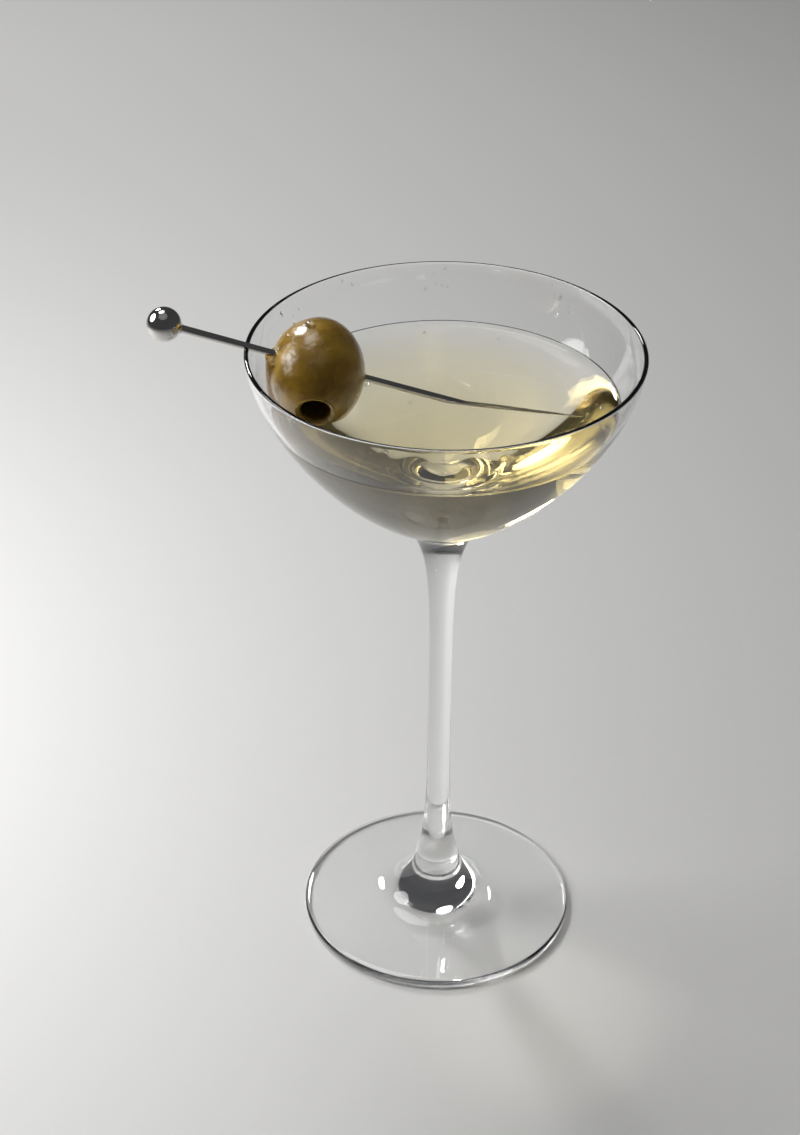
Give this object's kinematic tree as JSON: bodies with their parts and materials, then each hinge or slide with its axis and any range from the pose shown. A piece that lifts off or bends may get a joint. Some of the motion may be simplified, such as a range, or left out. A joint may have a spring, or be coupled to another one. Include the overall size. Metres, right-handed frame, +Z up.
{
  "type": "martini cocktail",
  "caption": "Straight-up martini in a clear stemmed coupe, garnished with a pitted green olive on a ball-ended steel pick that lies across the rim.",
  "frame": {"origin": "centre of the foot, on the surface that the glass stands on", "axes": "+Z up along the stem; the pick lies nearly along X, with its ball at -X and its tip at +X; the olive's hole faces -Y"},
  "size_m": [0.1148, 0.093, 0.1771],
  "materials": {
    "glass": "clear blown glass, fire-polished",
    "drink": "slightly cloudy pale straw liquid",
    "olive": "wet olive skin",
    "pick": "polished stainless steel"
  },
  "bodies": {
    "root": {"glass": "glass", "drink": "drink", "olive": "olive", "pick": "pick"}
  },
  "joints": []
}
